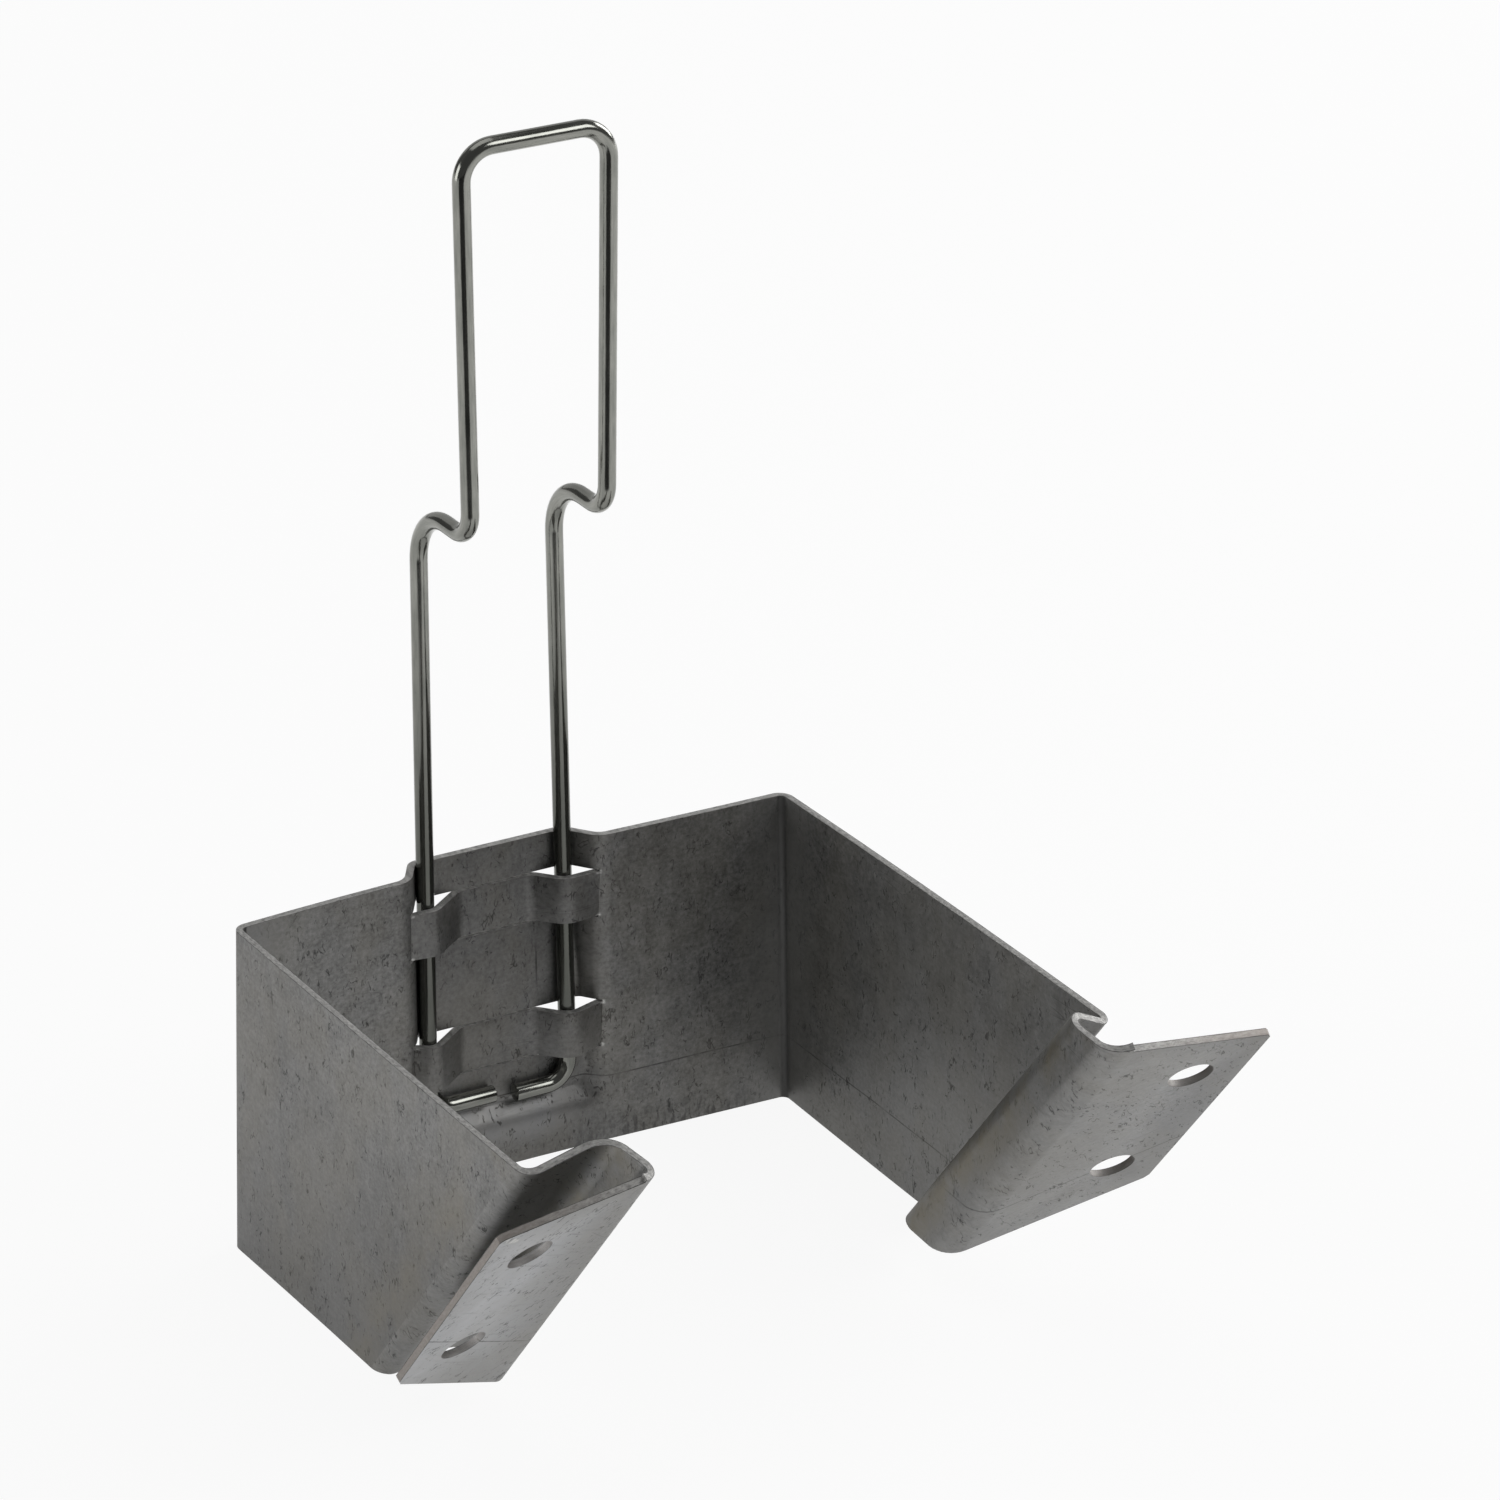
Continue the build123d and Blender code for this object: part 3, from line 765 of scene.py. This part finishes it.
def shearedEdge(tree, s):
    # sheared steel, warmer on the flanges and darker toward both faces
    cut = mixColour(tree, rise(tree, sheetNoise(tree, s, "shear"), *finish["shearRise"]),
                    finish["edge"], finish["dull"])
    cut = mixColour(tree, times(tree, s.flange, finish["flangeTint"]), cut, finish["edgeTint"])
    faceDepth = sheet["thickness"] / 2 * sheet["sideSpread"] * mm
    towardFace = mathNode(tree, "DIVIDE", mathNode(tree, "ABSOLUTE", s.deep), faceDepth)
    ragged = times(tree, minus(tree, s.mottle, 0.5), finish["rimRagged"])
    rim = rise(tree, plus(tree, towardFace, ragged), *finish["rimRise"])
    return mixColour(tree, rim, cut, finish["edgeDark"])


def galvanisedSheet():
    mat, tree = newMaterial("galvanisedSheet")
    out = addNode(tree, "ShaderNodeOutputMaterial")
    skin = addNode(tree, "ShaderNodeBsdfPrincipled")
    skin.inputs["Metallic"].default_value = finish["metallic"]
    s = sheetGuides(tree)
    mark, sunk = darkMarks(tree, s)
    colour = paintedLightAndDarkZones(tree, s, zincCoat(tree, s))
    colour = mixColour(tree, mark, colour, finish["speck"])
    for layer in (scratchesAndScuffs, pressLines, foldWork, tornMetal, rearCornerShade):
        colour = layer(tree, s, colour)
    feed(tree, skin.inputs["Base Color"], mixColour(tree, s.edge, colour, shearedEdge(tree, s)))
    rough = rise(tree, coatBlend(tree, s, finish["coatRough"]), *finish["roughRise"])
    marked = times(tree, largest(tree, mark, s.edge), finish["markRough"])
    feed(tree, skin.inputs["Roughness"], plus(tree, rough, marked, clamp=True))
    height = minus(tree, coatBlend(tree, s, finish["coatHeight"]), times(tree, sunk, finish["markDepth"]))
    feed(tree, skin.inputs["Normal"], bumpFrom(tree, height, finish["bump"], finish["bumpHeight"]))
    feed(tree, out.inputs[0], skin.outputs[0])
    return mat


# wire finish: drawing lines along the wire, short nicks and duller patches

wireFinish = {
    "shades": ((0.25, (0.17, 0.175, 0.160)), (0.75, (0.30, 0.30, 0.275))),
    "darkBand": (0.075, 0.078, 0.070), "nick": (0.12, 0.12, 0.11),
    # share of the darker band at each height, in fifths of a metre
    "darkBandShare": ((0.10, 0.1), (0.14, 0.82), (0.36, 0.82), (0.62, 0.0)), "darkBandScale": 5.0,
    "alongScale": 60.0,
    "drawn": {"scale": 9, "detail": 4, "rough": 0.65, "stretch": (0.35, 1, 1)},
    "patch": {"scale": 2.2, "detail": 3, "rough": 0.55, "stretch": (1, 0.5, 0.5)},
    "nicks": {"scale": 7, "detail": 3, "rough": 0.7, "stretch": (3, 1, 1)},
    "nickRise": (0.66, 0.74, 0.8),
    "toneShares": (0.7, 0.8), "roughShares": (0.6, 0.6), "roughRise": (0.25, 0.75, 0.20, 0.07),
    "bump": 0.2, "bumpHeight": 0.06, "nickDepth": 0.5,
}


def zincWire():
    mat, tree = newMaterial("zincWire")
    out = addNode(tree, "ShaderNodeOutputMaterial")
    skin = addNode(tree, "ShaderNodeBsdfPrincipled")
    skin.inputs["Metallic"].default_value = 1.0
    turn = times(tree, attribute(tree, "aroundWire"), 2 * pi)
    place = addNode(tree, "ShaderNodeCombineXYZ")
    feed(tree, place.inputs[0], times(tree, attribute(tree, "alongWire"), wireFinish["alongScale"]))
    feed(tree, place.inputs[1], mathNode(tree, "SINE", turn))
    feed(tree, place.inputs[2], mathNode(tree, "COSINE", turn))
    drawn, patch, nicks = [noise(tree, place.outputs[0], **wireFinish[name])
                           for name in ("drawn", "patch", "nicks")]
    nick = rise(tree, nicks, *wireFinish["nickRise"])
    tone = blend(tree, zip((drawn, patch), wireFinish["toneShares"]))
    colour = ramp(tree, tone, wireFinish["shades"])
    # darker along the lower legs, less at the feet and fading out above
    height = axes(tree, addNode(tree, "ShaderNodeTexCoord").outputs["Object"])[2]
    darkBandShare = ramp(tree, times(tree, height, wireFinish["darkBandScale"]), wireFinish["darkBandShare"])
    colour = mixColour(tree, darkBandShare, colour, wireFinish["darkBand"])
    feed(tree, skin.inputs["Base Color"], mixColour(tree, nick, colour, wireFinish["nick"]))
    rough = blend(tree, zip((drawn, patch), wireFinish["roughShares"]))
    feed(tree, skin.inputs["Roughness"], rise(tree, rough, *wireFinish["roughRise"]))
    lines = minus(tree, drawn, times(tree, nick, wireFinish["nickDepth"]))
    feed(tree, skin.inputs["Normal"], bumpFrom(tree, lines, wireFinish["bump"], wireFinish["bumpHeight"]))
    feed(tree, out.inputs[0], skin.outputs[0])
    return mat


bracketSheet.data.materials.clear()
bracketSheet.data.materials.append(galvanisedSheet())
wireBail = makeBail(zincWire())
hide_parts("wire_bail")
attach(wireBail, "root")
print("wire bail:", len(wireBail.data.polygons), "faces")


# floor and light, in metres

studio = {
    "world": 0.12, "roomShare": 0.03,          # dim room, and how far the metal sees it as white
    "floorSize": 12, "floorDrop": 0.0002, "floorShade": 0.86,
    "whiteShare": 0.92, "mirrorShare": 0.45,   # how far the camera and the metal see the floor as white
    # unlit front of the room, in degrees and metres, with how sharp its rim is and how dark it gets
    "darkFront": {"bearing": 210.0, "halfWidth": 32.0, "start": 0.24, "rim": 12.0, "depth": 0.93},
    "aim": (0, -0.05, 0.05),
    # power, width and depth, place
    "lamps": {
        "fillLamp": (13.5, (1.2, 1.0), (1.15, -1.4, 1.5)),
        "topLamp": (7.0, (1.6, 1.6), (0.0, 0.3, 2.0)),
        "leftLamp": (9.5, (1.0, 1.0), (-1.8, 0.4, 0.5)),
        "backLamp": (10.0, (3.5, 2.0), (0.8, 2.2, 1.1)),
        "rightLamp": (20.0, (1.0, 1.0), (1.9, 0.3, 0.8)),
    },
}


def raysOf(tree):
    # camera rays, and the rays that metal and glass send on
    paths = addNode(tree, "ShaderNodeLightPath").outputs
    return paths["Is Camera Ray"], largest(tree, paths["Is Glossy Ray"], paths["Is Transmission Ray"])


def frontShade(tree, seen):
    # 1 on the lit floor, less in the dark front of the room, which the camera's own rays don't see
    front = studio["darkFront"]
    x, y, _ = axes(tree, addNode(tree, "ShaderNodeTexCoord").outputs["Object"])
    aheadX, aheadY = sin(radians(front["bearing"])), cos(radians(front["bearing"]))
    forward = plus(tree, times(tree, x, aheadX), times(tree, y, aheadY))
    sideways = minus(tree, times(tree, x, aheadY), times(tree, y, aheadX))
    sector = minus(tree, times(tree, forward, tan(radians(front["halfWidth"]))),
                   mathNode(tree, "ABSOLUTE", sideways))
    sector = times(tree, sector, front["rim"], clamp=True)
    far = times(tree, minus(tree, forward, front["start"]), front["rim"], clamp=True)
    dark = times(tree, sector, far, minus(tree, 1.0, seen), front["depth"])
    return minus(tree, 1.0, dark)


def makeFloor():
    bpy.ops.mesh.primitive_plane_add(size=studio["floorSize"], location=(0, 0, -studio["floorDrop"]))
    floor = bpy.context.object
    floor.name = "floor"
    mat, tree = newMaterial("paleFloor")
    out = addNode(tree, "ShaderNodeOutputMaterial")
    seen, mirrored = raysOf(tree)
    lit = frontShade(tree, seen)
    matt = addNode(tree, "ShaderNodeBsdfDiffuse")
    feed(tree, matt.inputs["Color"], mixColour(tree, lit, (0.0, 0.0, 0.0), (studio["floorShade"],) * 3))
    glow = addNode(tree, "ShaderNodeEmission")
    feed(tree, glow.inputs["Strength"], times(tree, lit, times(tree, mirrored, studio["mirrorShare"])))
    table = addNode(tree, "ShaderNodeAddShader")
    feed(tree, table.inputs[0], matt.outputs[0])
    feed(tree, table.inputs[1], glow.outputs[0])
    white = addNode(tree, "ShaderNodeEmission")
    mix = addNode(tree, "ShaderNodeMixShader")
    feed(tree, mix.inputs[0], times(tree, seen, studio["whiteShare"]))
    feed(tree, mix.inputs[1], table.outputs[0])
    feed(tree, mix.inputs[2], white.outputs[0])
    feed(tree, out.inputs[0], mix.outputs[0])
    floor.data.materials.append(mat)


def makeRoom():
    world = bpy.data.worlds.new("studioWorld")
    bpy.context.scene.world = world
    world.use_nodes = True
    tree = world.node_tree
    tree.nodes.clear()
    out = addNode(tree, "ShaderNodeOutputWorld")
    seen, mirrored = raysOf(tree)
    white = plus(tree, seen, times(tree, mirrored, studio["roomShare"]))
    back = addNode(tree, "ShaderNodeBackground")
    feed(tree, back.inputs["Color"], mixColour(tree, white, (studio["world"],) * 3, (1.0, 1.0, 1.0)))
    feed(tree, out.inputs[0], back.outputs[0])


def makeLamp(name, power, size, place):
    data = bpy.data.lights.new(name, "AREA")
    data.energy = power
    data.shape = "RECTANGLE"
    data.size, data.size_y = size
    obj = bpy.data.objects.new(name, data)
    bpy.context.scene.collection.objects.link(obj)
    obj.location = place
    obj.rotation_euler = (Vector(studio["aim"]) - Vector(place)).to_track_quat("-Z", "Y").to_euler()


makeFloor()
makeRoom()
for lampName, lampValues in studio["lamps"].items():
    makeLamp(lampName, *lampValues)
bpy.context.scene.view_settings.view_transform = "Standard"
print("studio ready")
